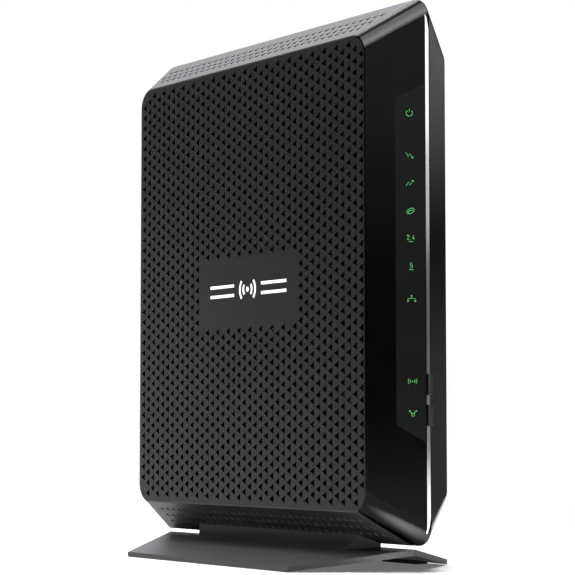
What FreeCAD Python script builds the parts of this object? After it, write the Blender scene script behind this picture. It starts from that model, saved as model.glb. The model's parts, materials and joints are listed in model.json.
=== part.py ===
"""Upright cable modem and router on a splayed stand.

Frame: millimetres, +Z up, the front spine faces -Y, the two flat sides face -X and +X,
and the origin is the middle of the footprint, on the surface that the stand rests on.
"""
import FreeCAD, Part
import math
import os

V = FreeCAD.Vector

# Envelope
HEIGHT = 244.8
DEPTH = 210.0
BODY_WIDTH = 44.0
STAND_WIDTH = 87.6
BODY_CLEARANCE = 11.25
HALF = BODY_WIDTH / 2
FRONT = -DEPTH / 2
BACK = DEPTH / 2

# Housing: the outline at x = 0 (the spine) tapers to a smaller one at each flat side
FRONT_CHAMFER = 16.1
BACK_CHAMFER = 10.3
TOP_CHAMFER = 15.6
BOTTOM_CHAMFER = 14.1
SPINE_TOP_RADIUS = 10.0
SPINE_BOTTOM_RADIUS = 8.5
SPINE_BACK_RADIUS = 4.5
SIDE_RADIUS = 9.0
SPINE_WALL = 2.8
SIDE_WALL = 4.0
COVER_RIM = 0.8
COVER_GAP = 0.1
COVER_THICKNESS = 1.8
PARTING_AT_SIDE = -82.9
PARTING_AT_SPINE = -91.8
SEAM = 0.4

# Perforation of the flat sides
GRILLE_COLUMN = 4.43
GRILLE_ROW = 5.09
GRILLE_COLUMNS = 41
GRILLE_FIRST_Y = -86.35
GRILLE_TOP_Z = 225.4
GRILLE_ROWS = 39
GRILLE_CORNER = 94.0
HOLE_HEIGHT = 3.6
HOLE_LENGTH = 3.25
BADGE_Y = 40.2
BADGE_Z = 123.7
BADGE_HEIGHT = 32.0

# Perforation of the top and bottom chamfers: distance from the spine, first and last y
VENT_PITCH = 5.13
VENT_SIZE = 2.9
TOP_VENTS = ((7.7, -82.4, 89.9), (12.2, -79.8, 89.2), (16.1, -76.4, 84.5))
BOTTOM_VENTS = ((6.6, -80.5, 88.6), (11.6, -79.4, 85.0), (16.2, -76.6, 82.6))

# Front: chrome strip, indicator window, light guide and the two spine buttons
STRIP_INNER = 0.2
STRIP_OUTER = 1.35
STRIP_DEPTH = 0.9
STRIP_BOTTOM = 16.9
STRIP_TOP = 236.8
STRIP_TAPER = 6.5
STRIP_TIP = 0.35
WINDOW_NEAR = 2.1
WINDOW_FAR = 14.45
WINDOW_DEPTH = 1.2
WINDOW_EDGE = 1.55
WINDOW_FAR_Z = (62.2, 200.7)
WINDOW_NEAR_Z = (54.9, 206.9)
ICON_U = 8.0
ICON_Z = (194.4, 176.2, 164.3, 152.5, 140.9, 129.0, 115.4, 80.5, 67.2)
PIPE_WIDTH = 2.0
PIPE_HEIGHT = 2.2
PIPE_LENGTH = 12.0
BUTTON_HEIGHT = 8.65
BUTTON_LEFT = -0.75
BUTTON_RIGHT = 1.3
BUTTON_MIDDLE = (BUTTON_LEFT + BUTTON_RIGHT) / 2
BUTTON_GAP = 0.15
WIFI_Z = 79.2
WPS_Z = 66.2
SWITCH_DROP = 2.7
PLUNGER_R = 1.4

# Main board, upright and parallel to the sides, parts on its -X face
BOARD_X = 3.0
BOARD_T = 1.6
BOARD_FRONT = -88.0
BOARD_BACK = 90.0
BOARD_BOTTOM = 39.0
BOARD_TOP = 215.5
BOARD_SCREWS = [(y, z) for y in (-80.0, -10.0, 62.0) for z in (46.0, 209.0)]
BOARD_SCREW_R = 1.4

# Housing screws, one near each corner
CASE_SCREWS = [(y, z) for y in (-78.0, 78.0) for z in (33.5, 221.0)]
CASE_BOSS_R = 3.4
CASE_SCREW_R = 1.3

# Chassis that carries the board and the antennas
CHASSIS_X = 12.0
CHASSIS_T = 2.5

# Rear port panel, recessed between the back chamfers
PANEL_HALF = 13.4
PANEL_BOTTOM = 29.6
PANEL_TOP = 214.4
PANEL_WALL = 1.4
PANEL_FACE = 94.3
PANEL_T = 1.8
PORT_FACE = 95.1
RESET_Z = 206.5
USB_Z = 190.0
ETHERNET_Z = (166.0, 149.5, 133.0, 116.5)
COAX_Z = 90.0
POWER_Z = 66.0
DC_Z = 45.0
COAX_X = -3.5
COAX_R = 4.75
COAX_NECK_R = 4.55
COAX_THREAD_Y = 96.9
COAX_TIP = 104.8
POWER_X = -2.5
POWER_PROUD = 2.5
RESET_X = -1.0
DC_X = -2.5

# Stand: a folded plate on four pads, with a saddle that hugs the bottom chamfers
STAND_RIDGE_TOP = 9.7
STAND_RIDGE_BOTTOM = 7.1
STAND_EDGE_TOP = 2.4
STAND_EDGE_BOTTOM = 0.25
STAND_RIDGE_Y = (-94.5, 100.5)
STAND_EDGE_Y = (-62.5, 69.0)
SADDLE_HALF = 5.3
SADDLE_FLARE = 15.0
SADDLE_BEND = (3.5, 2.35)
SADDLE_Y = (-61.7, 65.9)
SADDLE_TIP_Y = (-70.5, 73.3)
STAND_SCREW_X = 3.2
STAND_SCREW_Y = (-45.0, 48.0)
STAND_SCREW_R = 1.1
FOOT_X = (34.0, 41.0)
FOOT_Y = ((-52.0, -28.0), (34.0, 58.0))


def box(x0, x1, y0, y1, z0, z1):
    return Part.makeBox(x1 - x0, y1 - y0, z1 - z0, V(x0, y0, z0))


def along_x(radius, x0, x1, y, z):
    return Part.makeCylinder(radius, x1 - x0, V(x0, y, z), V(1, 0, 0))


def along_y(radius, y0, y1, x, z):
    return Part.makeCylinder(radius, y1 - y0, V(x, y0, z), V(0, 1, 0))


def along_z(radius, z0, z1, x, y):
    return Part.makeCylinder(radius, z1 - z0, V(x, y, z0))


def prism(points, direction):
    return Part.Face(Part.makePolygon(points + points[:1])).extrude(direction)


def union(shapes):
    return shapes[0].multiFuse(shapes[1:]) if len(shapes) > 1 else shapes[0]


def group(shapes):
    return Part.makeCompound(shapes)


def mirrored(shape):
    return shape.mirror(V(0, 0, 0), V(1, 0, 0))


def outline(x, y0, y1, z0, z1, low_radius, high_radius, back_radius):
    """Rectangle in the plane at x, its corners rounded by the front's two radii and the back's one."""
    corners = ((y1, z0, back_radius, 1, -1), (y1, z1, back_radius, 1, 1),
               (y0, z1, high_radius, -1, 1), (y0, z0, low_radius, -1, -1))
    arcs = []
    for y, z, radius, way_y, way_z in corners:
        chord = radius * (1 - math.sqrt(0.5))
        beside = V(x, y - way_y * radius, z)
        middle = V(x, y - way_y * chord, z - way_z * chord)
        above = V(x, y, z - way_z * radius)
        ends = (beside, above) if way_y * way_z < 0 else (above, beside)
        arcs.append((ends[0], middle, ends[1]))
    edges = []
    for index, arc in enumerate(arcs):
        edges.append(Part.LineSegment(arcs[index - 1][2], arc[0]).toShape())
        edges.append(Part.Arc(*arc).toShape())
    return Part.Wire(edges)


def side_outline(x, inset):
    return outline(x, FRONT + FRONT_CHAMFER + inset, BACK - BACK_CHAMFER - inset,
                   BODY_CLEARANCE + BOTTOM_CHAMFER + inset, HEIGHT - TOP_CHAMFER - inset,
                   SIDE_RADIUS - inset, SIDE_RADIUS - inset, SIDE_RADIUS - inset)


def spine_outline(inset):
    return outline(0, FRONT + inset, BACK - inset, BODY_CLEARANCE + inset, HEIGHT - inset,
                   SPINE_BOTTOM_RADIUS - inset, SPINE_TOP_RADIUS - inset, SPINE_BACK_RADIUS - inset)


def left_half(side_inset=0.0, spine_inset=0.0):
    """The -X half of the housing's volume, drawn in by the two insets."""
    return Part.makeLoft([side_outline(-HALF, side_inset), spine_outline(spine_inset)], True, True)


def whole_body():
    half = left_half()
    return half.fuse(mirrored(half))


def on_bezel(shape):
    """Moves a shape from bezel axes (away from the spine, outward, up) onto the left bezel."""
    turn = math.degrees(math.atan2(FRONT_CHAMFER, -HALF))
    shape = shape.copy()
    shape.Placement = FreeCAD.Placement(V(0, FRONT, 0), FreeCAD.Rotation(V(0, 0, 1), turn))
    return shape


def front_block():
    """Everything of the left half ahead of the joint between bezel and shell."""
    far = -HALF - 5
    points = [V(0, PARTING_AT_SPINE, 0), V(-HALF, PARTING_AT_SIDE, 0), V(far, PARTING_AT_SIDE, 0),
              V(far, FRONT - 10, 0), V(0, FRONT - 10, 0)]
    return prism(points, V(0, 0, HEIGHT + 10))


def left_band():
    """Wall of the left half, open at the side, with the seat for the side cover."""
    wall = left_half().cut(left_half(SIDE_WALL, SPINE_WALL))
    seat = Part.Face(side_outline(-HALF - 1, COVER_RIM - COVER_GAP))
    return wall.cut(seat.extrude(V(COVER_THICKNESS + COVER_GAP + 1, 0, 0)))


def vent_rows(rows, z0, z1):
    """Triangular slots through a chamfer, each pointing to the back."""
    holes = []
    for distance, first, last in rows:
        count = round((last - first) / VENT_PITCH) + 1
        pitch = (last - first) / (count - 1)
        for step in range(count):
            y = first + pitch * step
            points = [V(-distance - VENT_SIZE / 2, y - VENT_SIZE / 2, z0),
                      V(-distance, y + VENT_SIZE / 2, z0),
                      V(-distance + VENT_SIZE / 2, y - VENT_SIZE / 2, z0)]
            holes.append(prism(points, V(0, 0, z1 - z0)))
    return group(holes)


def case_bosses():
    """Screw posts of a half, each tied to the nearest wall by a rib."""
    posts = []
    for y, z in CASE_SCREWS:
        edge = HEIGHT - 1 if z > HEIGHT / 2 else BODY_CLEARANCE + 1
        posts.append(along_x(CASE_BOSS_R, -HALF + 3.6, 0, y, z))
        posts.append(box(-HALF + 3.6, -1, y - 0.8, y + 0.8, min(z, edge), max(z, edge)))
    for y in STAND_SCREW_Y:
        posts.append(along_z(2.6, BODY_CLEARANCE + 1, 22, -STAND_SCREW_X, y))
    return union(posts).common(left_half(0.5, 0.5))


def left_shell_blank():
    shell = left_band().cut(front_block()).fuse(case_bosses())
    shell = shell.cut(vent_rows(TOP_VENTS, HEIGHT - 30, HEIGHT))
    shell = shell.cut(vent_rows(BOTTOM_VENTS, 0, 35))
    shell = shell.cut(box(-PANEL_HALF, 0, 80, BACK + 5, PANEL_BOTTOM, PANEL_TOP))
    for y in STAND_SCREW_Y:
        shell = shell.cut(along_z(STAND_SCREW_R, 0, 20, -STAND_SCREW_X, y))
    return shell


def left_shell(blank):
    for y, z in CASE_SCREWS:
        blank = blank.cut(along_x(CASE_SCREW_R + 0.2, -HALF, 0, y, z))
    return blank


def right_shell(blank):
    shell = mirrored(blank)
    for y, z in CASE_SCREWS:
        shell = shell.cut(along_x(CASE_SCREW_R, 0, 14, y, z))
    return shell


def hole_is_kept(column, y, z):
    """False in the plain badge area and where the cover's corners round off."""
    if abs(y) < BADGE_Y and abs(z - BADGE_Z) < BADGE_HEIGHT / 2 + 0.5:
        return False
    middle = (HEIGHT - TOP_CHAMFER + BODY_CLEARANCE + BOTTOM_CHAMFER) / 2
    reach = abs(z - middle)
    return column not in (0, GRILLE_COLUMNS - 1) or reach < GRILLE_CORNER


def left_side_cover():
    """Flat plate perforated by a staggered lattice of triangles that point to the back."""
    plane = -HALF
    holes = []
    for column in range(GRILLE_COLUMNS):
        y = GRILLE_FIRST_Y + GRILLE_COLUMN * column
        top = GRILLE_TOP_Z - (GRILLE_ROW / 2) * (column % 2)
        for row in range(GRILLE_ROWS):
            z = top - GRILLE_ROW * row
            if hole_is_kept(column, y, z):
                points = [V(plane, y - HOLE_LENGTH / 3, z - HOLE_HEIGHT / 2),
                          V(plane, y - HOLE_LENGTH / 3, z + HOLE_HEIGHT / 2),
                          V(plane, y + HOLE_LENGTH * 2 / 3, z)]
                holes.append(Part.makePolygon(points + points[:1]))
    face = Part.Face([side_outline(plane, COVER_RIM)] + holes)
    return face.extrude(V(COVER_THICKNESS, 0, 0))


def skin(depth):
    """The outer layer of the left half."""
    return left_half().cut(left_half(depth, depth))


def strip_end(tip, way):
    """Inner edge of the strip beside a tip, where it leaves the spine and narrows."""
    return [V(-STRIP_OUTER + STRIP_TIP, FRONT - 1, tip), V(-STRIP_INNER, FRONT - 1, tip + way * STRIP_TAPER)]


def trim_strip():
    """Bright inlay beside the spine, in three lengths that the buttons separate."""
    lengths = [(STRIP_BOTTOM, WPS_Z - BUTTON_HEIGHT / 2 - BUTTON_GAP),
               (WPS_Z + BUTTON_HEIGHT / 2 + BUTTON_GAP, WIFI_Z - BUTTON_HEIGHT / 2 - BUTTON_GAP),
               (WIFI_Z + BUTTON_HEIGHT / 2 + BUTTON_GAP, STRIP_TOP)]
    layer = skin(STRIP_DEPTH)
    pieces = []
    for low, high in lengths:
        points = [V(-STRIP_OUTER, FRONT - 1, high), V(-STRIP_OUTER, FRONT - 1, low)]
        points += strip_end(low, 1) if low == STRIP_BOTTOM else [V(-STRIP_INNER, FRONT - 1, low)]
        points += strip_end(high, -1)[::-1] if high == STRIP_TOP else [V(-STRIP_INNER, FRONT - 1, high)]
        pieces.append(layer.common(prism(points, V(0, 20, 0))))
    return group(pieces)


def led_window():
    """Smoked window over the indicators, with slanted ends."""
    points = [V(WINDOW_FAR, -WINDOW_DEPTH, WINDOW_FAR_Z[0]),
              V(WINDOW_NEAR, -WINDOW_DEPTH, WINDOW_NEAR_Z[0]),
              V(WINDOW_NEAR, -WINDOW_DEPTH, WINDOW_NEAR_Z[1]),
              V(WINDOW_FAR, -WINDOW_DEPTH, WINDOW_FAR_Z[1])]
    window = on_bezel(prism(points, V(0, WINDOW_DEPTH, 0)))
    return window.cut(box(-WINDOW_EDGE, 5, FRONT - 1, FRONT + 10, 0, HEIGHT))


def light_guide():
    """Nine clear pipes, one behind each indicator, on a common bar."""
    near = ICON_U - PIPE_WIDTH / 2
    far = ICON_U + PIPE_WIDTH / 2
    pipes = [box(near, far, -PIPE_LENGTH, -WINDOW_DEPTH - 0.05, z - PIPE_HEIGHT / 2, z + PIPE_HEIGHT / 2)
             for z in ICON_Z]
    bar = box(near - 0.5, far + 0.5, -5.0, -3.2, ICON_Z[-1] - 4, ICON_Z[0] + 4)
    return on_bezel(union([bar] + pipes))


def button_slots():
    slots = [box(BUTTON_LEFT - BUTTON_GAP, BUTTON_RIGHT + BUTTON_GAP, FRONT - 1, FRONT + 8,
                 z - BUTTON_HEIGHT / 2 - BUTTON_GAP, z + BUTTON_HEIGHT / 2 + BUTTON_GAP)
             for z in (WIFI_Z, WPS_Z)]
    return group(slots)


def front_bezel_blank():
    return left_band().common(front_block()).cut(box(-SEAM / 2, 0, -120, -80, 0, HEIGHT + 1))


def left_front_bezel(blank, strip, window):
    """Gloss front half: seats for the strip and window, light ports, button slots."""
    bezel = blank.cut(window).cut(strip).cut(button_slots())
    ports = [box(ICON_U - PIPE_WIDTH / 2 - 0.2, ICON_U + PIPE_WIDTH / 2 + 0.2, -5, -WINDOW_DEPTH,
                 z - PIPE_HEIGHT / 2 - 0.2, z + PIPE_HEIGHT / 2 + 0.2) for z in ICON_Z]
    return bezel.cut(on_bezel(group(ports)))


def right_front_bezel(blank):
    return mirrored(blank).cut(button_slots())


def spine_button(z):
    """Narrow cap in the spine, a flange that keeps it in, and a stem to its switch."""
    low = z - BUTTON_HEIGHT / 2
    high = z + BUTTON_HEIGHT / 2
    middle = z - SWITCH_DROP
    cap = box(BUTTON_LEFT, BUTTON_RIGHT, FRONT, FRONT + 6, low, high)
    edges = [edge for edge in cap.Edges if edge.BoundBox.YMax < FRONT + 0.01]
    cap = cap.makeFillet(0.35, edges)
    flange = box(-2.3, 2.2, FRONT + 5.4, FRONT + 6.6, low - 1.2, high + 1.2)
    stem = box(BUTTON_LEFT, BUTTON_RIGHT, FRONT + 6, FRONT + 9.5, middle - 1.8, middle + 1.8)
    return union([cap, flange, stem])


def spine_plunger(z):
    return along_y(PLUNGER_R, FRONT + 9.5, FRONT + 12, BUTTON_MIDDLE, z - SWITCH_DROP)


def spine_switch(z):
    """Side-acting push switch on the board's front edge, bored for its plunger."""
    middle = z - SWITCH_DROP
    case = box(-2.4, BOARD_X, FRONT + 10.8, FRONT + 20.5, middle - 2.2, middle + 2.2)
    return case.cut(along_y(PLUNGER_R + 0.2, FRONT + 10, FRONT + 13, BUTTON_MIDDLE, middle))


def status_leds():
    return group([box(BOARD_X - 1.6, BOARD_X, BOARD_FRONT - 1, BOARD_FRONT + 0.6, z - 0.8, z + 0.8)
                  for z in ICON_Z])


def main_board():
    board = box(BOARD_X, BOARD_X + BOARD_T, BOARD_FRONT, BOARD_BACK, BOARD_BOTTOM, BOARD_TOP)
    corners = [edge for edge in board.Edges if abs(edge.tangentAt(edge.FirstParameter).x) > 0.9]
    board = board.makeFillet(2.0, corners)
    holes = [along_x(BOARD_SCREW_R + 0.2, BOARD_X - 1, BOARD_X + 5, y, z) for y, z in BOARD_SCREWS]
    return board.cut(group(holes))


def screw_x(head_x, length, radius, y, z):
    """Pan-head screw pointing to +X, with a cross recess; head_x is the underside of its head."""
    head = along_x(radius * 2, head_x - 1.6, head_x, y, z)
    rim = [edge for edge in head.Edges if edge.BoundBox.XMax < head_x - 1.5]
    head = head.makeFillet(0.5, rim)
    head = head.cut(box(head_x - 2, head_x - 0.9, y - 0.3, y + 0.3, z - 1.4, z + 1.4))
    head = head.cut(box(head_x - 2, head_x - 0.9, y - 1.4, y + 1.4, z - 0.3, z + 0.3))
    return head.fuse(along_x(radius, head_x, head_x + length, y, z))


def board_screws():
    return group([screw_x(BOARD_X, 8, BOARD_SCREW_R, y, z) for y, z in BOARD_SCREWS])


def case_screws():
    return group([screw_x(-HALF + 3.6, 30, CASE_SCREW_R, y, z) for y, z in CASE_SCREWS])


def inner_chassis():
    """Open frame with six posts for the board, notched round the housing's screw posts."""
    frame = box(CHASSIS_X, CHASSIS_X + CHASSIS_T, -88, 88, 27, 228)
    frame = frame.cut(box(CHASSIS_X - 1, CHASSIS_X + 5, -72, 54, 54, 119))
    frame = frame.cut(box(CHASSIS_X - 1, CHASSIS_X + 5, -72, 54, 131, 200))
    posts = [along_x(3.2, BOARD_X + BOARD_T, CHASSIS_X + 0.5, y, z) for y, z in BOARD_SCREWS]
    frame = union([frame] + posts)
    cuts = [along_x(BOARD_SCREW_R, BOARD_X, 11, y, z) for y, z in BOARD_SCREWS]
    cuts += [along_x(CASE_BOSS_R + 0.4, CHASSIS_X - 1, CHASSIS_X + 5, y, z) for y, z in CASE_SCREWS]
    cuts += [box(CHASSIS_X - 1, CHASSIS_X + 5, y - 1.3, y + 1.3, *((z, 240) if z > 100 else (10, z)))
             for y, z in CASE_SCREWS]
    return frame.cut(group(cuts))


def chip(y, z, size, height):
    return box(BOARD_X - height, BOARD_X, y - size / 2, y + size / 2, z - size / 2, z + size / 2)


def can(y0, y1, z0, z1, height):
    """Drawn metal shield, open towards the board."""
    outer = box(BOARD_X - height, BOARD_X, y0, y1, z0, z1)
    return outer.cut(box(BOARD_X - height + 0.3, BOARD_X + 1, y0 + 0.3, y1 - 0.3, z0 + 0.3, z1 - 0.3))


def heat_sink(y0, y1, z0, z1, base_x, tip_x, pitch):
    """Finned block: the base lies on its thermal pad and upright fins point to -X."""
    parts = [box(base_x - 3, base_x, y0, y1, z0, z1)]
    count = int((y1 - y0) // pitch)
    step = (y1 - y0 - 1.5) / count
    for index in range(count + 1):
        y = y0 + step * index
        parts.append(box(tip_x, base_x - 2.5, y, y + 1.5, z0, z1))
    return union(parts)


def antenna_leads():
    """Thin coaxial leads, each from an antenna, round one bend, to its socket on the board."""
    leads = []
    for start, corner, end in ((V(15.9, -41, 218), V(15.9, -41, 194), V(6.4, -41, 194)),
                               (V(15.9, 26, 218), V(15.9, 26, 194), V(6.4, 26, 194)),
                               (V(15.9, -80, 112), V(15.9, -64, 112), V(6.4, -64, 112))):
        inward = (start - corner).normalize() * 6
        onward = (end - corner).normalize() * 6
        middle = corner + (inward + onward) * (1 - math.sqrt(0.5))
        path = Part.Wire([Part.LineSegment(start, corner + inward).toShape(),
                          Part.Arc(corner + inward, middle, corner + onward).toShape(),
                          Part.LineSegment(corner + onward, end).toShape()])
        ring = Part.Wire(Part.makeCircle(0.58, start, inward))
        leads.append(path.makePipeShell([ring], True, False))
    return group(leads)


def antenna_sockets():
    places = ((-41, 194), (26, 194), (-64, 112))
    return group([along_x(1.3, BOARD_X + BOARD_T, 6.4, y, z) for y, z in places])


def antennas():
    x0 = CHASSIS_X + CHASSIS_T
    return group([box(x0, x0 + 0.8, -62, -20, 206, 220), box(x0, x0 + 0.8, 5, 47, 206, 220),
                  box(x0, x0 + 0.8, -87, -75, 90, 134)])


def rear_port_panel():
    """Recessed tray across the housing's back, with a cut-out for every port."""
    tray = box(-PANEL_HALF, PANEL_HALF, PANEL_FACE - PANEL_T, BACK + 5, PANEL_BOTTOM, PANEL_TOP)
    inner = PANEL_HALF - PANEL_WALL
    hollow = box(-inner, inner, PANEL_FACE, BACK + 6, PANEL_BOTTOM + PANEL_WALL, PANEL_TOP - PANEL_WALL)
    tray = tray.cut(hollow).common(whole_body())
    y0 = PANEL_FACE - 4
    y1 = PANEL_FACE + 2
    cuts = [box(BOARD_X - 13.6, BOARD_X + 0.1, y0, y1, z - 8.1, z + 8.1) for z in ETHERNET_Z]
    cuts.append(box(BOARD_X - 7.1, BOARD_X + 0.1, y0, y1, USB_Z - 7.35, USB_Z + 7.35))
    cuts.append(along_y(COAX_NECK_R + 0.15, y0, y1, COAX_X, COAX_Z))
    cuts.append(box(POWER_X - 3.2, POWER_X + 3.2, y0, y1, POWER_Z - 4.2, POWER_Z + 4.2))
    cuts.append(along_y(1.2, y0, y1, RESET_X, RESET_Z))
    cuts.append(box(BOARD_X - 10.1, BOARD_X + 0.1, y0, y1, DC_Z - 4.6, DC_Z + 4.6))
    return tray.cut(group(cuts))


def ethernet_jack(z):
    """Eight-way socket: a plug bay with a notch for the plug's latch."""
    shell = box(BOARD_X - 13.5, BOARD_X, PORT_FACE - 20.5, PORT_FACE, z - 8, z + 8)
    bay = box(-6.6, 0.4, PORT_FACE - 14, PORT_FACE + 1, z - 6, z + 6)
    latch = box(-8.2, -6.6, PORT_FACE - 11, PORT_FACE + 1, z - 3.2, z + 3.2)
    slot = box(-9.4, -8.2, PORT_FACE - 11, PORT_FACE + 1, z - 1.7, z + 1.7)
    return shell.cut(union([bay, latch, slot]))


def ethernet_contacts():
    pitch = 1.02
    pins = [box(-0.4, 0.4, PORT_FACE - 13, PORT_FACE - 3, z + (n - 3.5) * pitch - 0.22,
                z + (n - 3.5) * pitch + 0.22) for z in ETHERNET_Z for n in range(8)]
    return group(pins)


def ethernet_transformers():
    return group([box(BOARD_X - 6, BOARD_X, 57, 69, z - 6, z + 6) for z in ETHERNET_Z])


def usb_port():
    shell = box(BOARD_X - 7, BOARD_X, PORT_FACE - 14, PORT_FACE, USB_Z - 7.25, USB_Z + 7.25)
    return shell.cut(box(-3.1, 2.0, PORT_FACE - 12.5, PORT_FACE + 1, USB_Z - 6.25, USB_Z + 6.25))


def usb_tongue():
    return box(-0.4, 1.4, PORT_FACE - 12.5, PORT_FACE - 1.2, USB_Z - 5.6, USB_Z + 5.6)


def coax_connector():
    """Threaded coaxial socket; the thread is a plain cylinder of its outer diameter."""
    base = box(BOARD_X - 12, BOARD_X, 78, PANEL_FACE - PANEL_T, COAX_Z - 6.5, COAX_Z + 6.5)
    barrel = along_y(COAX_R, COAX_THREAD_Y, COAX_TIP, COAX_X, COAX_Z)
    rims = [edge for edge in barrel.Edges if edge.BoundBox.YMin > COAX_TIP - 0.01]
    barrel = barrel.makeChamfer(0.4, rims)
    neck = along_y(COAX_NECK_R, 90, COAX_THREAD_Y, COAX_X, COAX_Z)
    return union([base, neck, barrel]).cut(along_y(3.6, 97, COAX_TIP + 1, COAX_X, COAX_Z))


def coax_insulator():
    plug = along_y(3.6, 97, COAX_TIP - 0.6, COAX_X, COAX_Z)
    return plug.cut(along_y(0.7, 98, COAX_TIP, COAX_X, COAX_Z))


def coax_nut():
    """Hexagonal nut that clamps the connector to the panel."""
    across = 12.7
    radius = across / math.sqrt(3)
    corners = [V(COAX_X + radius * math.cos(math.radians(60 * n)), PANEL_FACE,
                 COAX_Z + radius * math.sin(math.radians(60 * n))) for n in range(6)]
    nut = prism(corners, V(0, 2.2, 0))
    return nut.cut(along_y(COAX_NECK_R, 90, 100, COAX_X, COAX_Z))


def dc_jack():
    case = box(BOARD_X - 10, BOARD_X, PORT_FACE - 14.5, PORT_FACE, DC_Z - 4.5, DC_Z + 4.5)
    return case.cut(along_y(3.15, PORT_FACE - 10, PORT_FACE + 1, DC_X, DC_Z))


def dc_pin():
    return along_y(1.0, PORT_FACE - 10, PORT_FACE - 1, DC_X, DC_Z)


def power_button():
    """Latching push button, stored pressed in: cap outside the panel, square stem inside."""
    cap = box(POWER_X - 3, POWER_X + 3, PANEL_FACE - 6, PANEL_FACE + POWER_PROUD, POWER_Z - 4, POWER_Z + 4)
    edges = [edge for edge in cap.Edges if edge.BoundBox.YMin > PANEL_FACE + POWER_PROUD - 0.1]
    cap = cap.makeFillet(0.6, edges)
    stem = box(POWER_X - 2, POWER_X + 2, PANEL_FACE - 14, PANEL_FACE - 5, POWER_Z - 2, POWER_Z + 2)
    return cap.fuse(stem)


def power_switch():
    case = box(BOARD_X - 11, BOARD_X, 72, PANEL_FACE - 7, POWER_Z - 5.5, POWER_Z + 5.5)
    bore = box(POWER_X - 2.2, POWER_X + 2.2, PANEL_FACE - 15, PANEL_FACE, POWER_Z - 2.2, POWER_Z + 2.2)
    return case.cut(bore)


def reset_button():
    return along_y(0.9, PANEL_FACE - 7.1, PANEL_FACE - 2.4, RESET_X, RESET_Z)


def reset_switch():
    case = box(RESET_X - 3.2, BOARD_X, PANEL_FACE - 12.5, PANEL_FACE - 5.9, RESET_Z - 3.1, RESET_Z + 3.1)
    return case.cut(along_y(1.1, PANEL_FACE - 8.2, PANEL_FACE, RESET_X, RESET_Z))


def capacitors():
    places = ((50, 57), (40, 48), (39, 62), (50, 70), (30, 70))
    cans = []
    for y, z in places:
        body = along_x(4.0, BOARD_X - 12, BOARD_X, y, z)
        rims = [edge for edge in body.Edges if edge.BoundBox.XMax < BOARD_X - 11.9]
        cans.append(body.makeFillet(0.6, rims))
    return group(cans)


def inductors():
    coils = []
    for z in (47, 58):
        block = box(BOARD_X - 4, BOARD_X, 20, 28, z - 4, z + 4)
        upright = [edge for edge in block.Edges if edge.BoundBox.XLength > 3.9]
        coils.append(block.makeFillet(1.5, upright))
    return group(coils)


def saddle():
    """Block under the body: pointed ends in plan, and sides that flare smoothly into the plate."""
    slope = (STAND_RIDGE_TOP - STAND_EDGE_TOP) / (STAND_WIDTH / 2)
    start = SADDLE_TIP_Y[0]
    top = 15.0
    low = STAND_RIDGE_TOP - slope * SADDLE_FLARE - 0.3
    edges = [Part.LineSegment(V(-SADDLE_FLARE, start, low), V(SADDLE_FLARE, start, low)).toShape()]
    for side in (1, -1):
        foot = V(side * SADDLE_FLARE, start, low)
        bend = V(side * (SADDLE_HALF + SADDLE_BEND[0]), start, low + SADDLE_BEND[1])
        edges.append(Part.Arc(foot, bend, V(side * SADDLE_HALF, start, top)).toShape())
    edges.append(Part.LineSegment(V(-SADDLE_HALF, start, top), V(SADDLE_HALF, start, top)).toShape())
    section = Part.Face(Part.Wire(Part.__sortEdges__(edges)))
    block = section.extrude(V(0, SADDLE_TIP_Y[1] - start, 0))
    front_cut = (SADDLE_Y[0] - start) / SADDLE_HALF
    back_cut = (SADDLE_TIP_Y[1] - SADDLE_Y[1]) / SADDLE_HALF
    reach = SADDLE_FLARE + 1
    near = start + front_cut * reach
    far = SADDLE_TIP_Y[1] - back_cut * reach
    plan = [V(0, start, 0), V(reach, near, 0), V(reach, far, 0),
            V(0, SADDLE_TIP_Y[1], 0), V(-reach, far, 0), V(-reach, near, 0)]
    return block.common(prism(plan, V(0, 0, 20)))


def stand():
    """Folded plate with a six-sided plan, a saddle for the body, and screw pockets below."""
    edge = STAND_WIDTH / 2
    y0, y1 = STAND_RIDGE_Y
    section = [V(-edge, y0, STAND_EDGE_BOTTOM), V(-edge, y0, STAND_EDGE_TOP), V(0, y0, STAND_RIDGE_TOP),
               V(edge, y0, STAND_EDGE_TOP), V(edge, y0, STAND_EDGE_BOTTOM), V(0, y0, STAND_RIDGE_BOTTOM)]
    e0, e1 = STAND_EDGE_Y
    plan = [V(0, y0, 0), V(edge, e0, 0), V(edge, e1, 0), V(0, y1, 0), V(-edge, e1, 0), V(-edge, e0, 0)]
    plate = prism(section, V(0, y1 - y0, 0)).common(prism(plan, V(0, 0, 20)))
    shape = plate.fuse(saddle().cut(whole_body()))
    for x in (-STAND_SCREW_X, STAND_SCREW_X):
        for y in STAND_SCREW_Y:
            shape = shape.cut(along_z(STAND_SCREW_R + 0.1, 0, 20, x, y))
            shape = shape.cut(along_z(2.5, 0, 8.2, x, y))
    return shape


def stand_screws():
    screws = []
    for x in (-STAND_SCREW_X, STAND_SCREW_X):
        for y in STAND_SCREW_Y:
            screws.append(along_z(2.2, 6.9, 8.2, x, y).fuse(along_z(STAND_SCREW_R, 8.2, 19, x, y)))
    return group(screws)


def rubber_feet():
    """Four pads that fill the angle between the plate and the table."""
    edge = STAND_WIDTH / 2
    slope = (STAND_RIDGE_BOTTOM - STAND_EDGE_BOTTOM) / edge
    pads = []
    for y0, y1 in FOOT_Y:
        near, far = FOOT_X
        points = [V(near, y0, 0), V(far, y0, 0), V(far, y0, STAND_RIDGE_BOTTOM - slope * far),
                  V(near, y0, STAND_RIDGE_BOTTOM - slope * near)]
        pad = prism(points, V(0, y1 - y0, 0))
        pads += [pad, mirrored(pad)]
    return group(pads)


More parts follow.
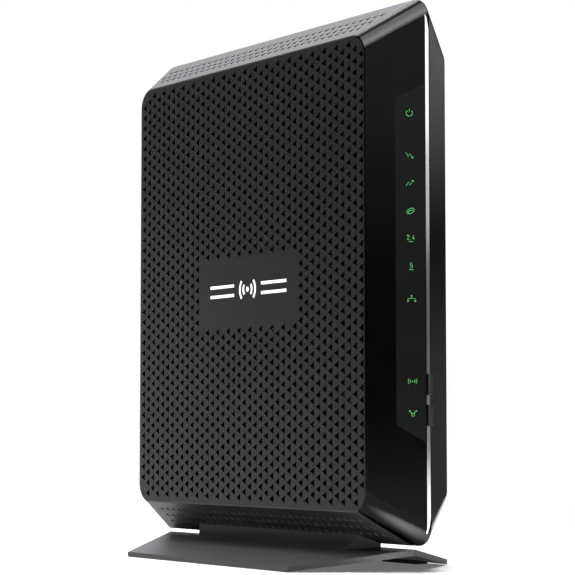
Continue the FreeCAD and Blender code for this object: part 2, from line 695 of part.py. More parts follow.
def build():
    """Every sub-part by node name."""
    shell = left_shell_blank()
    cover = left_side_cover()
    bezel = front_bezel_blank()
    strip = trim_strip()
    window = led_window()
    nodes = {
        "left_shell": left_shell(shell),
        "right_shell": right_shell(shell),
        "left_side_cover": cover,
        "right_side_cover": mirrored(cover),
        "left_front_bezel": left_front_bezel(bezel, strip, window),
        "right_front_bezel": right_front_bezel(bezel),
        "trim_strip": strip,
        "led_window": window,
        "light_guide": light_guide(),
        "wifi_button": spine_button(WIFI_Z),
        "wifi_plunger": spine_plunger(WIFI_Z),
        "wifi_switch": spine_switch(WIFI_Z),
        "wps_button": spine_button(WPS_Z),
        "wps_plunger": spine_plunger(WPS_Z),
        "wps_switch": spine_switch(WPS_Z),
        "status_leds": status_leds(),
        "main_board": main_board(),
        "board_screws": board_screws(),
        "case_screws": case_screws(),
        "inner_chassis": inner_chassis(),
        "modem_chip": chip(-36, 140, 31, 1.4),
        "router_chip": chip(-43, 69, 25, 1.4),
        "memory_chips": group([chip(8, z, 12, 1.1) for z in (66, 84, 126, 144)]),
        "radio_chips": group([chip(y, 199, 9, 0.9) for y in (-32, 22)]),
        "radio_shields": group([can(y - 18, y + 18, 186, 212, 3.6) for y in (-32, 22)]),
        "tuner_shield": can(38, 75, 80, 100, 5.0),
        "thermal_pads": group([box(0.9, 1.6, -51, -21, 125, 155), box(0.9, 1.6, -55, -31, 57, 81)]),
        "modem_heat_sink": heat_sink(-68, -6, 104, 176, 0.9, -16, 5.0),
        "router_heat_sink": heat_sink(-68, -20, 52, 92, 0.9, -14, 5.0),
        "antennas": antennas(),
        "antenna_leads": antenna_leads(),
        "antenna_sockets": antenna_sockets(),
        "rear_port_panel": rear_port_panel(),
        "ethernet_contacts": ethernet_contacts(),
        "ethernet_transformers": ethernet_transformers(),
        "usb_port": usb_port(),
        "usb_tongue": usb_tongue(),
        "coax_connector": coax_connector(),
        "coax_insulator": coax_insulator(),
        "coax_nut": coax_nut(),
        "dc_jack": dc_jack(),
        "dc_pin": dc_pin(),
        "power_button": power_button(),
        "power_switch": power_switch(),
        "reset_button": reset_button(),
        "reset_switch": reset_switch(),
        "capacitors": capacitors(),
        "inductors": inductors(),
        "stand": stand(),
        "stand_screws": stand_screws(),
        "rubber_feet": rubber_feet(),
    }
    for number, z in enumerate(ETHERNET_Z, 1):
        nodes[f"ethernet_jack_{number}"] = ethernet_jack(z)
    return nodes


os.makedirs("parts", exist_ok=True)
for name, shape in build().items():
    shape.exportStep(f"parts/{name}.step")
    print(f"{name:24s} solids {len(shape.Solids):3d}  valid {shape.isValid()}  {shape.Volume:10.1f} mm3")
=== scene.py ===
"""Looks of the upright cable modem: finishes, indicators, marks, floor, lights and camera."""
import json
import math

import bmesh
import bpy
from mathutils import Matrix, Vector


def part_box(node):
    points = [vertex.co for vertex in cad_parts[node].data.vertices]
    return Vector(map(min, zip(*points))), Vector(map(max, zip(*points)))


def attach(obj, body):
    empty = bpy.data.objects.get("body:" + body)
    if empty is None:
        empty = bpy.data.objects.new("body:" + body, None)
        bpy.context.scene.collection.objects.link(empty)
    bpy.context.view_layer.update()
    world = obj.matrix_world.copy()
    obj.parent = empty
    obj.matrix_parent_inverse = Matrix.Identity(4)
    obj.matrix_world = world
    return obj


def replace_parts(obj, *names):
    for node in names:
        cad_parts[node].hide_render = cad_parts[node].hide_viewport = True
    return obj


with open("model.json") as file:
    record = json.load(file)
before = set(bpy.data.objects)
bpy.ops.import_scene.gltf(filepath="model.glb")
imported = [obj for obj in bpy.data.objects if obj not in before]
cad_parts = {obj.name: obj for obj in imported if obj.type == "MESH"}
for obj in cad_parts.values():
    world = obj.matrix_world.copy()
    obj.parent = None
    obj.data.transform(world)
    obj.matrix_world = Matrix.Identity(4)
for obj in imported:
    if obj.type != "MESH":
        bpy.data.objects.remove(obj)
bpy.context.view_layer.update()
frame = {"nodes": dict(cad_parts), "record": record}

MM = 0.001
HOUSING = "housing"

# Camera: place in metres, turn and tilt in degrees, lens and sensor in mm
CAMERA_PLACE = (-0.5330, -0.7544, 0.0591)
CAMERA_TURN = 35.268
CAMERA_TILT = 4.158
CAMERA_LENS = 124.73
SENSOR = 36.0

# Studio: a bright patch of backdrop in one direction, a dim surround, an overhead sun and a pale floor
BACKDROP_WAY = (0.12, 0.80, 0.59)
BACKDROP_EDGE = 0.72
BACKDROP_FULL = 0.94
BACKDROP_LIGHT = 2.2
BACKDROP_COLOUR = (0.95, 0.96, 1, 1)
DIM = 0.04
SUN_STRENGTH = 3.9
SUN_ANGLE = 36.0
FLOOR_COLOUR = (0.6, 0.6, 0.6)
FLOOR_ROUGHNESS = 0.9
FLOOR_GLOW = 0.14
FLOOR_X = (-2.5, 0.35)
FLOOR_Y = (-1.75, 1.6)

# Soft panels: name, place, aim, width, height, brightness, and how much of it fades towards the rim.
# Those behind the camera show in the left bezel, those on the right in the right one, those above on
# the top edges, and the card on the floor on the bottom edges.
PANELS = (
    ("behind_camera_base", (-1.11, -1.75, 0.165), (0, -0.1, 0.13), 0.8, 0.33, 0.07, 0.0),
    ("behind_camera_low", (-1.11, -1.75, 0.41), (0, -0.1, 0.13), 0.8, 0.16, 0.5, 0.0),
    ("behind_camera_high", (-1.11, -1.75, 0.90), (0, -0.1, 0.18), 0.8, 0.85, 1.4, 0.0),
    ("upper_left", (-0.69, -0.45, 1.10), (-0.01, -0.1, 0.235), 1.1, 0.9, 25.0, 1.0),
    ("upper_back", (0, 0.70, 1.35), (0, -0.1, 0.235), 0.8, 0.7, 5.0, 0.6),
    ("back_left", (-0.50, 1.6, 0.16), (-0.02, 0.05, 0.08), 0.6, 0.5, 4.5, 0.8),
    ("right_high", (1.45, 0.43, 0.62), (0, -0.09, 0.2), 0.7, 0.7, 0.55, 0.8),
    ("right_low", (1.45, 0.44, 0.05), (0, -0.1, 0.05), 0.8, 0.5, 0.12, 0.8),
    ("overhead_left", (-0.42, -0.09, 1.19), (0, -0.1, 0.24), 0.8, 0.7, 11.0, 0.9),
    ("floor_card", (-0.024, -0.105, 0.0015), (-0.024, -0.105, 1), 0.048, 0.04, 18.0, 0.9),
)

# Left bezel: its plane runs from the spine to the side, FRONT_CHAMFER deep over half the width
HALF = -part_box("left_front_bezel")[0].x
SPINE = -0.105
FRONT_CHAMFER = 0.0161
ICON_HIGH_U = 0.0085
ICON_LOW_U = 0.0075
ICON_HIGH_Z = 0.1944
ICON_LOW_Z = 0.0672

# Glyphs are drawn in mm with round lines, which are pressed to a thin layer of the given share
ICON_LINE = 0.24
ICON_PRESS = 0.2
SIGN_LINE = 0.35
SIGN_PRESS = 0.15
SIGN_FIGURE = 1.4
MARK_LINE = 1.5
MARK_PRESS = 0.05
SAME_POINT = 1e-6

# Printed mark on each side, in mm and degrees: a dot, pairs of arcs, and two bars on either side
MARK_Z = 0.1245
MARK_DOT = 0.5
MARK_ARCS = (3.4, 6.2)
MARK_SPAN = 40
MARK_BAR_ENDS = (11, 31)
MARK_BAR_HEIGHTS = (2.2, -2.2)

# Back: the panel's face, the jacks and their indicator lenses, and where the printed signs stand
PANEL_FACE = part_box("coax_nut")[0].y
JACKS = (1, 2, 3, 4)
JACK_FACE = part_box("ethernet_jack_1")[1].y
LENS_SIZE = (1.7 * MM, 0.6 * MM, 2.6 * MM)
LENS_INSET = 1.7 * MM
LENS_OFFSET = 5.0 * MM
LENS_EDGE = 0.2 * MM
LENSES = (("lenses_green", 1, (0.1, 0.3, 0.08)), ("lenses_amber", -1, (0.45, 0.22, 0.03)))
SIGN_X = 0.0075

# Coaxial socket: its block ends inside the panel, and its thread starts a little outside
BLOCK_BACK = PANEL_FACE - 1.8 * MM
BLOCK_EDGE = 0.3 * MM
COAX_RIM = 0.4 * MM
THREAD_START = PANEL_FACE + 2.6 * MM
THREAD_RADIUS = 0.00475
THREAD_NECK = THREAD_RADIUS - 0.2 * MM
THREAD_DEPTH = 0.00045
THREAD_PITCH = 0.000794
THREAD_TURN_STEPS = 40
THREAD_PITCH_STEPS = 6


# ---------------------------------------------------------------- camera and stage
def make_camera():
    data = bpy.data.cameras.new("camera")
    data.sensor_width = SENSOR
    data.lens = CAMERA_LENS
    data.clip_start = 0.01
    camera = bpy.data.objects.new("camera", data)
    camera.location = CAMERA_PLACE
    camera.rotation_euler = (math.radians(90 + CAMERA_TILT), 0, math.radians(-CAMERA_TURN))
    bpy.context.scene.collection.objects.link(camera)
    bpy.context.scene.camera = camera


def make_world():
    """White behind the object for the camera; for everything else dim, with a bright patch at the back."""
    world = bpy.data.worlds.new("studio")
    bpy.context.scene.world = world
    world.use_nodes = True
    tree = world.node_tree
    tree.nodes.clear()
    place = tree.nodes.new("ShaderNodeTexCoord")
    facing = tree.nodes.new("ShaderNodeVectorMath")
    facing.operation = "DOT_PRODUCT"
    facing.inputs[1].default_value = BACKDROP_WAY
    tree.links.new(place.outputs["Generated"], facing.inputs[0])
    patch = tree.nodes.new("ShaderNodeMapRange")
    patch.interpolation_type = "SMOOTHSTEP"
    patch.inputs["From Min"].default_value = BACKDROP_EDGE
    patch.inputs["From Max"].default_value = BACKDROP_FULL
    patch.inputs["To Min"].default_value = DIM
    patch.inputs["To Max"].default_value = BACKDROP_LIGHT
    tree.links.new(facing.outputs["Value"], patch.inputs["Value"])
    fill = tree.nodes.new("ShaderNodeBackground")
    fill.inputs["Color"].default_value = BACKDROP_COLOUR
    tree.links.new(patch.outputs["Result"], fill.inputs["Strength"])
    seen = tree.nodes.new("ShaderNodeBackground")
    seen.inputs["Color"].default_value = (1, 1, 1, 1)
    path = tree.nodes.new("ShaderNodeLightPath")
    mix = tree.nodes.new("ShaderNodeMixShader")
    out = tree.nodes.new("ShaderNodeOutputWorld")
    tree.links.new(path.outputs["Is Camera Ray"], mix.inputs[0])
    tree.links.new(fill.outputs[0], mix.inputs[1])
    tree.links.new(seen.outputs[0], mix.inputs[2])
    tree.links.new(mix.outputs[0], out.inputs[0])


def aim(light, place, target):
    light.location = place
    light.rotation_euler = (Vector(target) - Vector(place)).to_track_quat("-Z", "Y").to_euler()
    light.visible_camera = False
    bpy.context.scene.collection.objects.link(light)


def soften_panel(data, softness):
    """Lets a panel's brightness fall smoothly from its middle to its rim."""
    data.use_nodes = True
    tree = data.node_tree
    spot = tree.nodes.new("ShaderNodeNewGeometry")
    shifted = tree.nodes.new("ShaderNodeVectorMath")
    shifted.operation = "SUBTRACT"
    shifted.inputs[1].default_value = (0.5, 0.5, 0)
    away = tree.nodes.new("ShaderNodeVectorMath")
    away.operation = "LENGTH"
    fall = tree.nodes.new("ShaderNodeMapRange")
    fall.interpolation_type = "SMOOTHSTEP"
    fall.inputs["From Min"].default_value = 0.5
    fall.inputs["From Max"].default_value = 0.5 * (1 - softness)
    tree.links.new(spot.outputs["Parametric"], shifted.inputs[0])
    tree.links.new(shifted.outputs["Vector"], away.inputs[0])
    tree.links.new(away.outputs["Value"], fall.inputs["Value"])
    tree.links.new(fall.outputs["Result"], tree.nodes["Emission"].inputs["Strength"])


def make_panel(name, place, target, width, height, radiance, softness):
    """Rectangular soft light of a given brightness, as seen in a mirror."""
    data = bpy.data.lights.new(name, "AREA")
    data.shape = "RECTANGLE"
    data.size = width
    data.size_y = height
    data.energy = radiance * width * height * math.pi
    if softness:
        soften_panel(data, softness)
    aim(bpy.data.objects.new(name, data), place, target)


def make_sun():
    data = bpy.data.lights.new("overhead", "SUN")
    data.energy = SUN_STRENGTH
    data.angle = math.radians(SUN_ANGLE)
    aim(bpy.data.objects.new("overhead", data), (0, 0, 2), (0, 0, 0))


def make_floor():
    mesh = bpy.data.meshes.new("floor")
    low_x, high_x = FLOOR_X
    low_y, high_y = FLOOR_Y
    corners = [(low_x, low_y, 0), (high_x, low_y, 0), (high_x, high_y, 0), (low_x, high_y, 0)]
    mesh.from_pydata(corners, [], [(0, 1, 2, 3)])
    floor = bpy.data.objects.new("floor", mesh)
    bpy.context.scene.collection.objects.link(floor)
    white = plain("floor_white", FLOOR_COLOUR, FLOOR_ROUGHNESS)
    shader = white.node_tree.nodes["Principled BSDF"]
    shader.inputs["Emission Color"].default_value = (1, 1, 1, 1)
    shader.inputs["Emission Strength"].default_value = FLOOR_GLOW
    mesh.materials.append(white)


# ---------------------------------------------------------------- materials
def blank(name):
    material = bpy.data.materials.new(name)
    material.use_nodes = True
    tree = material.node_tree
    shader = tree.nodes["Principled BSDF"]
    return material, tree, shader


def plain(name, colour, roughness):
    material, tree, shader = blank(name)
    shader.inputs["Base Color"].default_value = (*colour, 1)
    shader.inputs["Roughness"].default_value = roughness
    return material


def noise(tree, scale, detail=2.0, stretch=(1, 1, 1)):
    """Object-space noise; scale is in features per metre."""
    place = tree.nodes.new("ShaderNodeTexCoord")
    mapping = tree.nodes.new("ShaderNodeMapping")
    mapping.inputs["Scale"].default_value = stretch
    tree.links.new(place.outputs["Object"], mapping.inputs["Vector"])
    texture = tree.nodes.new("ShaderNodeTexNoise")
    texture.inputs["Scale"].default_value = scale
    texture.inputs["Detail"].default_value = detail
    tree.links.new(mapping.outputs["Vector"], texture.inputs["Vector"])
    return texture.outputs["Fac"]


def ramp(tree, value, low, high, low_colour, high_colour):
    node = tree.nodes.new("ShaderNodeValToRGB")
    node.color_ramp.elements[0].position = low
    node.color_ramp.elements[0].color = (*low_colour, 1)
    node.color_ramp.elements[1].position = high
    node.color_ramp.elements[1].color = (*high_colour, 1)
    tree.links.new(value, node.inputs["Fac"])
    return node.outputs["Color"]


def spread(tree, value, low, high):
    node = tree.nodes.new("ShaderNodeMapRange")
    node.inputs["To Min"].default_value = low
    node.inputs["To Max"].default_value = high
    tree.links.new(value, node.inputs["Value"])
    return node.outputs["Result"]


def bump(tree, shader, height, strength, distance):
    node = tree.nodes.new("ShaderNodeBump")
    node.inputs["Strength"].default_value = strength
    node.inputs["Distance"].default_value = distance
    tree.links.new(height, node.inputs["Height"])
    tree.links.new(node.outputs["Normal"], shader.inputs["Normal"])


def moulded(name, colour, roughness, grain=2600.0, depth=0.00006, strength=0.35, vary=0.12, specular=0.5):
    """Moulded plastic: fine grain in the tool's surface and a slight, wide change of shade."""
    material, tree, shader = blank(name)
    wide = noise(tree, 28.0, 3.0)
    dark = tuple(c * (1 - vary) for c in colour)
    light = tuple(c * (1 + vary) for c in colour)
    tree.links.new(ramp(tree, wide, 0.3, 0.7, dark, light), shader.inputs["Base Color"])
    fine = noise(tree, grain, 3.0)
    tree.links.new(spread(tree, fine, roughness - 0.06, roughness + 0.06), shader.inputs["Roughness"])
    shader.inputs["Specular IOR Level"].default_value = specular
    bump(tree, shader, fine, strength, depth)
    return material


def metal(name, colour, roughness, stretch=(1, 1, 1), grain=900.0, strength=0.1):
    material, tree, shader = blank(name)
    shader.inputs["Metallic"].default_value = 1.0
    streaks = noise(tree, grain, 3.0, stretch)
    dark = tuple(c * 0.88 for c in colour)
    tree.links.new(ramp(tree, streaks, 0.3, 0.7, dark, colour), shader.inputs["Base Color"])
    tree.links.new(spread(tree, streaks, roughness * 0.8, roughness * 1.2), shader.inputs["Roughness"])
    bump(tree, shader, streaks, strength, 0.00003)
    return material


def glowing(name, colour, strength):
    material, tree, shader = blank(name)
    cells = noise(tree, 900.0, 1.0)
    pale = tuple(min(1.0, c * 1.5 + 0.1) for c in colour)
    tree.links.new(ramp(tree, cells, 0.2, 0.8, colour, pale), shader.inputs["Emission Color"])
    shader.inputs["Base Color"].default_value = (*colour, 1)
    shader.inputs["Roughness"].default_value = 0.5
    shader.inputs["Emission Strength"].default_value = strength
    return material


def circuit_board(name):
    """Green solder mask over tracks: a fine network slightly lighter than the ground."""
    material, tree, shader = blank(name)
    place = tree.nodes.new("ShaderNodeTexCoord")
    cells = tree.nodes.new("ShaderNodeTexVoronoi")
    cells.feature = "DISTANCE_TO_EDGE"
    cells.inputs["Scale"].default_value = 260.0
    tree.links.new(place.outputs["Object"], cells.inputs["Vector"])
    tracks = ramp(tree, cells.outputs["Distance"], 0.03, 0.07, (0.05, 0.24, 0.11), (0.015, 0.11, 0.05))
    tree.links.new(tracks, shader.inputs["Base Color"])
    shader.inputs["Roughness"].default_value = 0.35
    bump(tree, shader, cells.outputs["Distance"], 0.2, 0.0001)
    return material


def make_materials():
    return {
        "shell_black": moulded("shell_black", (0.009, 0.009, 0.0093), 0.5, specular=0.42),
        "cover_black": moulded("cover_black", (0.0034, 0.0034, 0.0036), 0.38, strength=0.2, specular=0.21),
        "gloss_black": moulded("gloss_black", (0.0003, 0.0003, 0.00035), 0.14, grain=60, depth=0.00001,
                               strength=0.02, specular=0.105),
        "bright_trim": metal("bright_trim", (0.86, 0.86, 0.87), 0.1, (1, 1, 0.05), 500, 0.04),
        "smoked_window": moulded("smoked_window", (0.0028, 0.0031, 0.003), 0.24, grain=80, depth=0.00001,
                                 strength=0.02, specular=0.135),
        "clear_plastic": moulded("clear_plastic", (0.75, 0.8, 0.77), 0.15, strength=0.1),
        "button_grey": moulded("button_grey", (0.022, 0.023, 0.023), 0.4, specular=0.25),
        "control_black": moulded("control_black", (0.03, 0.03, 0.03), 0.4),
        "switch_black": moulded("switch_black", (0.04, 0.04, 0.04), 0.5),
        "led_white": moulded("led_white", (0.8, 0.85, 0.7), 0.3),
        "board_green": circuit_board("board_green"),
        "steel_screw": metal("steel_screw", (0.6, 0.6, 0.6), 0.3),
        "chassis_black": moulded("chassis_black", (0.07, 0.07, 0.075), 0.55),
        "chip_black": moulded("chip_black", (0.025, 0.025, 0.027), 0.6, grain=6000),
        "shield_tin": metal("shield_tin", (0.7, 0.7, 0.68), 0.35, (1, 1, 8)),
        "thermal_grey": moulded("thermal_grey", (0.35, 0.4, 0.45), 0.8),
        "sink_aluminium": metal("sink_aluminium", (0.75, 0.76, 0.77), 0.4, (1, 1, 0.05)),
        "antenna_board": moulded("antenna_board", (0.08, 0.1, 0.06), 0.4),
        "lead_grey": moulded("lead_grey", (0.25, 0.25, 0.26), 0.5),
        "gold_contact": metal("gold_contact", (0.85, 0.62, 0.25), 0.25),
        "panel_black": moulded("panel_black", (0.035, 0.035, 0.037), 0.6),
        "jack_black": moulded("jack_black", (0.03, 0.03, 0.03), 0.45),
        "usb_metal": metal("usb_metal", (0.72, 0.72, 0.71), 0.3, (1, 0.1, 1)),
        "usb_tongue_black": moulded("usb_tongue_black", (0.02, 0.02, 0.02), 0.4),
        "coax_metal": metal("coax_metal", (0.5, 0.48, 0.44), 0.25),
        "insulator_white": moulded("insulator_white", (0.8, 0.79, 0.75), 0.5),
        "capacitor_sleeve": metal("capacitor_sleeve", (0.5, 0.5, 0.52), 0.35),
        "stand_grey": moulded("stand_grey", (0.02, 0.02, 0.021), 0.5, specular=0.35),
        "foot_rubber": moulded("foot_rubber", (0.02, 0.02, 0.02), 0.85),
    }


def dress_cad(materials):
    """Gives every CAD node the procedural material of its slot."""
    for entry in frame["record"]["subparts"]:
        mesh = frame["nodes"][entry["node"]].data
        for index in range(len(mesh.materials)):
            mesh.materials[index] = materials[entry["material_slot"]]


# ---------------------------------------------------------------- glyphs
def arc(cx, cz, radius, start, end, steps=16):
    turn = (end - start) / steps
    return [(cx + radius * math.cos(math.radians(start + turn * i)),
             cz + radius * math.sin(math.radians(start + turn * i))) for i in range(steps + 1)]


def box_line(cx, cz, half_w, half_h):
    return [(cx - half_w, cz - half_h), (cx + half_w, cz - half_h), (cx + half_w, cz + half_h),
            (cx - half_w, cz + half_h), (cx - half_w, cz - half_h)]


def power_glyph():
    return [arc(0, -0.1, 1.35, 130, 410, 24), [(0, 0.4), (0, 1.7)]]


def down_glyph():
    return [[(-1.6, 1.2), (-0.65, -0.7), (-0.1, 0.8), (1.3, -1.2)], [(1.5, -0.5), (1.3, -1.2), (0.6, -1.15)]]


def up_glyph():
    return [[(x, -z) for x, z in stroke] for stroke in down_glyph()]


def globe_glyph():
    """Tilted globe with an orbit line."""
    rim = [(1.55 * x + 0.3 * z, 1.15 * z + 0.25 * x) for x, z in arc(0, 0, 1.0, 0, 360, 24)]
    orbit = [(0.2 + 1.1 * x, 0.5 * z + 0.3 * x - 0.25) for x, z in arc(0, 0, 1.0, 40, 210, 12)]
    return [rim, orbit + [(-1.5, -1.0)]]


def digit(number):
    """One figure as a single line, 2 high and about 1.1 wide, round the origin."""
    five = [(px * 0.55, pz * 0.62) for px, pz in arc(0, -0.55, 1.0, 115, -150, 14)]
    lines = {
        1: [(-0.35, 0.65), (0.1, 1.0), (0.1, -1.0)],
        2: arc(0, 0.5, 0.5, 160, -35, 12) + [(-0.5, -1.0), (0.55, -1.0)],
        3: arc(0, 0.5, 0.48, 150, -80, 10) + arc(0, -0.48, 0.54, 80, -150, 12),
        4: [(0.55, -0.45), (-0.55, -0.45), (0.2, 1.0), (0.2, -1.0)],
        5: [(0.5, 1.0), (-0.4, 1.0), (-0.45, 0.12)] + five,
    }
    return lines[number]


def moved(line, x, z, size):
    return [(x + px * size, z + pz * size) for px, pz in line]


def band_low_glyph():
    return [moved(digit(2), -1.2, 0.4, 0.95), moved(digit(4), 1.0, 0.4, 0.95), [(-0.2, -0.5), (-0.1, -0.5)],
            [(-0.9, -1.35), (0.9, -1.35)]]


def band_high_glyph():
    return [moved(digit(5), 0, 0.4, 0.95), [(-0.9, -1.35), (0.9, -1.35)]]


def network_glyph():
    return [box_line(0, 1.15, 0.22, 0.2), box_line(-1.5, -1.1, 0.22, 0.2), box_line(1.5, -1.1, 0.22, 0.2),
            [(0, 0.9), (0, 0)], [(-1.5, -0.85), (-1.5, 0), (1.5, 0), (1.5, -0.85)]]


def wireless_glyph():
    lines = [arc(0, 0, 0.14, 0, 360, 8)]
    for radius in (0.95, 1.8):
        lines += [arc(0, 0, radius, -36, 36, 8), arc(0, 0, radius, 144, 216, 8)]
    return lines


def pairing_glyph():
    return [arc(-1.35, 0.85, 0.22, 0, 360, 10), arc(1.35, 0.85, 0.22, 0, 360, 10),
            arc(0, -0.75, 0.6, 0, 360, 14), [(-1.15, 0.65), (-0.45, -0.3)], [(1.15, 0.65), (0.45, -0.3)]]


def reset_glyph():
    return [arc(0, 0, 1.1, 60, 350, 20), [(0.05, 1.5), (0.55, 0.95), (-0.1, 0.6)]]


def socket_glyph():
    return [arc(0, 0, 1.2, 0, 360, 20), arc(0, 0, 0.2, 0, 360, 8)]


def plug_glyph():
    return [box_line(0, 0, 1.5, 0.8), [(-0.9, 0.15), (0.9, 0.15)]]


def strokes_mesh(name, strokes, thickness, press):
    """Round strokes along flat outlines, pressed to a thin layer: x and z in the picture, y through it."""
    curve = bpy.data.curves.new(name, "CURVE")
    curve.dimensions = "3D"
    curve.bevel_depth = thickness / 2
    curve.bevel_resolution = 2
    curve.use_fill_caps = True
    for points in strokes:
        closed = math.dist(points[0], points[-1]) < SAME_POINT
        kept = points[:-1] if closed else points
        spline = curve.splines.new("POLY")
        spline.points.add(len(kept) - 1)
        spline.use_cyclic_u = closed
        for point, (x, z) in zip(spline.points, kept):
            point.co = (x, 0, z, 1)
    holder = bpy.data.objects.new(name, curve)
    bpy.context.scene.collection.objects.link(holder)
    mesh = bpy.data.meshes.new_from_object(holder)
    bpy.data.objects.remove(holder)
    mesh.name = name
    mesh.transform(Matrix.Diagonal((MM, MM * press, MM, 1)))
    return mesh


def add_piece(name, mesh, material, body=HOUSING):
    piece = bpy.data.objects.new(name, mesh)
    bpy.context.scene.collection.objects.link(piece)
    mesh.materials.clear()
    mesh.materials.append(material)
    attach(piece, body)
    return piece


def bezel_matrix(u, z):
    """Places a glyph on the left bezel: its x axis runs to the spine, its y axis into the bezel."""
    away = Vector((-HALF, FRONT_CHAMFER, 0)).normalized()
    up = Vector((0, 0, 1))
    inward = up.cross(-away)
    spot = Vector((0, SPINE, z)) + away * u
    rows = Matrix((-away, inward, up)).transposed()
    return Matrix.Translation(spot) @ rows.to_4x4()


def make_icons():
    glow = glowing("indicator_green", (0.03, 0.25, 0.055), 0.46)
    glyphs = (power_glyph, down_glyph, up_glyph, globe_glyph, band_low_glyph, band_high_glyph, network_glyph,
              wireless_glyph, pairing_glyph)
    leds = frame["nodes"]["status_leds"].data
    heights = sorted({round(v.co.z, 4) for v in leds.vertices}, reverse=True)
    centres = [(heights[2 * i] + heights[2 * i + 1]) / 2 for i in range(len(glyphs))]
    for glyph, z in zip(glyphs, centres):
        name = "icon_" + glyph.__name__.replace("_glyph", "")
        mesh = strokes_mesh(name, glyph(), ICON_LINE, ICON_PRESS)
        share = (z - ICON_LOW_Z) / (ICON_HIGH_Z - ICON_LOW_Z)
        mesh.transform(bezel_matrix(ICON_LOW_U + (ICON_HIGH_U - ICON_LOW_U) * share, z))
        add_piece(name, mesh, glow)


def make_marks():
    """Plain printed mark in each side's badge area: a wireless sign between two bars."""
    paint = moulded("mark_white", (0.75, 0.75, 0.75), 0.45)
    lines = [arc(0, 0, MARK_DOT, 0, 360, 12)]
    for radius in MARK_ARCS:
        for middle in (0, 180):
            lines.append(arc(0, 0, radius, middle - MARK_SPAN, middle + MARK_SPAN, 10))
    for side in (-1, 1):
        lines += [[(side * end, height) for end in MARK_BAR_ENDS] for height in MARK_BAR_HEIGHTS]
    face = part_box("left_side_cover")[0].x
    for name, x, turn in (("left_mark", face, -90), ("right_mark", -face, 90)):
        mesh = strokes_mesh(name, lines, MARK_LINE, MARK_PRESS)
        mesh.transform(Matrix.Translation((x, 0, MARK_Z)) @ Matrix.Rotation(math.radians(turn), 4, "Z"))
        add_piece(name, mesh, paint)


def make_back_signs():
    """Printed signs beside the ports: figures for the four jacks and plain symbols for the rest."""
    paint = moulded("sign_white", (0.6, 0.6, 0.6), 0.5)
    signs = {}
    for number in JACKS:
        signs[f"sign_{number}"] = ([moved(digit(number), 0, 0, SIGN_FIGURE)], f"ethernet_jack_{number}")
    signs["sign_power"] = (power_glyph(), "power_button")
    signs["sign_reset"] = (reset_glyph(), "reset_button")
    signs["sign_socket"] = (socket_glyph(), "dc_pin")
    signs["sign_usb"] = (plug_glyph(), "usb_port")
    for name, (strokes, node) in signs.items():
        low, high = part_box(node)
        mesh = strokes_mesh(name, strokes, SIGN_LINE, SIGN_PRESS)
        place = Matrix.Translation((SIGN_X, PANEL_FACE, (low.z + high.z) / 2))
        mesh.transform(place @ Matrix.Rotation(math.pi, 4, "Z"))
        add_piece(name, mesh, paint)


def add_block(shape, middle, size):
    place = Matrix.Translation(middle) @ Matrix.Diagonal((*size, 1))
    bmesh.ops.create_cube(shape, size=1, matrix=place)


def round_edges(shape, radius):
    bmesh.ops.bevel(shape, geom=shape.edges[:], offset=radius, segments=2, affect="EDGES", profile=0.5)


def make_jack_lenses():
    """Two small indicator lenses in the face of each jack, in the corners beside the latch notch."""
    for name, way, colour in LENSES:
        shape = bmesh.new()
        for number in JACKS:
            low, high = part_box(f"ethernet_jack_{number}")
            spot = (low.x + LENS_INSET, JACK_FACE, (low.z + high.z) / 2 + way * LENS_OFFSET)
            add_block(shape, spot, LENS_SIZE)
        round_edges(shape, LENS_EDGE)
        mesh = bpy.data.meshes.new(name)
        shape.to_mesh(mesh)
        shape.free()
        add_piece(name, mesh, moulded(name, colour, 0.25, strength=0.1))


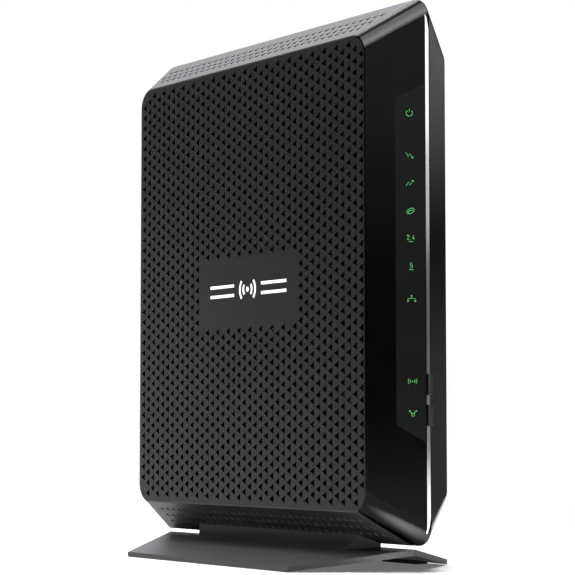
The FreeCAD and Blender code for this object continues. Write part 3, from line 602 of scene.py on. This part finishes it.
def lathe(shape, centre, rings):
    """Skins a stack of rings, each a list of (angle, radius, y), closed at both ends."""
    loops = []
    for ring in rings:
        spots = [(centre.x + radius * math.cos(angle), y, centre.z + radius * math.sin(angle))
                 for angle, radius, y in ring]
        loops.append([shape.verts.new(spot) for spot in spots])
    count = len(loops[0])
    for first, second in zip(loops, loops[1:]):
        for index in range(count):
            after = (index + 1) % count
            shape.faces.new((first[index], second[index], second[after], first[after]))
    shape.faces.new(loops[0])
    shape.faces.new(loops[-1][::-1])


def make_coax(materials):
    """Coaxial socket with a real helical thread, in place of the plain cylinder."""
    low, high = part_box("coax_connector")
    core_low, core_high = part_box("coax_insulator")
    centre = (core_low + core_high) / 2
    bore = (core_high.z - core_low.z) / 2
    shape = bmesh.new()
    middle = ((low.x + high.x) / 2, (low.y + BLOCK_BACK) / 2, centre.z)
    add_block(shape, middle, (high.x - low.x, BLOCK_BACK - low.y, high.z - low.z))
    round_edges(shape, BLOCK_EDGE)
    angles = [2 * math.pi * step / THREAD_TURN_STEPS for step in range(THREAD_TURN_STEPS)]

    def plain_ring(radius, y):
        return [(angle, radius, y) for angle in angles]

    def thread_ring(y):
        ring = []
        for angle in angles:
            phase = ((y - THREAD_START) / THREAD_PITCH - angle / (2 * math.pi)) % 1
            ring.append((angle, THREAD_RADIUS - THREAD_DEPTH * abs(2 * phase - 1), y))
        return ring

    rings = [plain_ring(THREAD_NECK, BLOCK_BACK - COAX_RIM), plain_ring(THREAD_NECK, THREAD_START)]
    length = high.y - COAX_RIM - THREAD_START
    steps = int(length / THREAD_PITCH * THREAD_PITCH_STEPS)
    for step in range(steps + 1):
        rings.append(thread_ring(THREAD_START + length * step / steps))
    rings.append(plain_ring(THREAD_RADIUS - COAX_RIM, high.y))
    rings += [plain_ring(bore, high.y), plain_ring(bore, core_low.y)]
    lathe(shape, centre, rings)
    mesh = bpy.data.meshes.new("coax_body")
    shape.to_mesh(mesh)
    shape.free()
    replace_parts(add_piece("coax_body", mesh, materials["coax_metal"]), "coax_connector")


make_camera()
make_world()
make_floor()
make_sun()
for panel in PANELS:
    make_panel(*panel)
materials = make_materials()
dress_cad(materials)
make_icons()
make_marks()
make_back_signs()
make_jack_lenses()
make_coax(materials)

bpy.context.scene.view_settings.view_transform = "Standard"
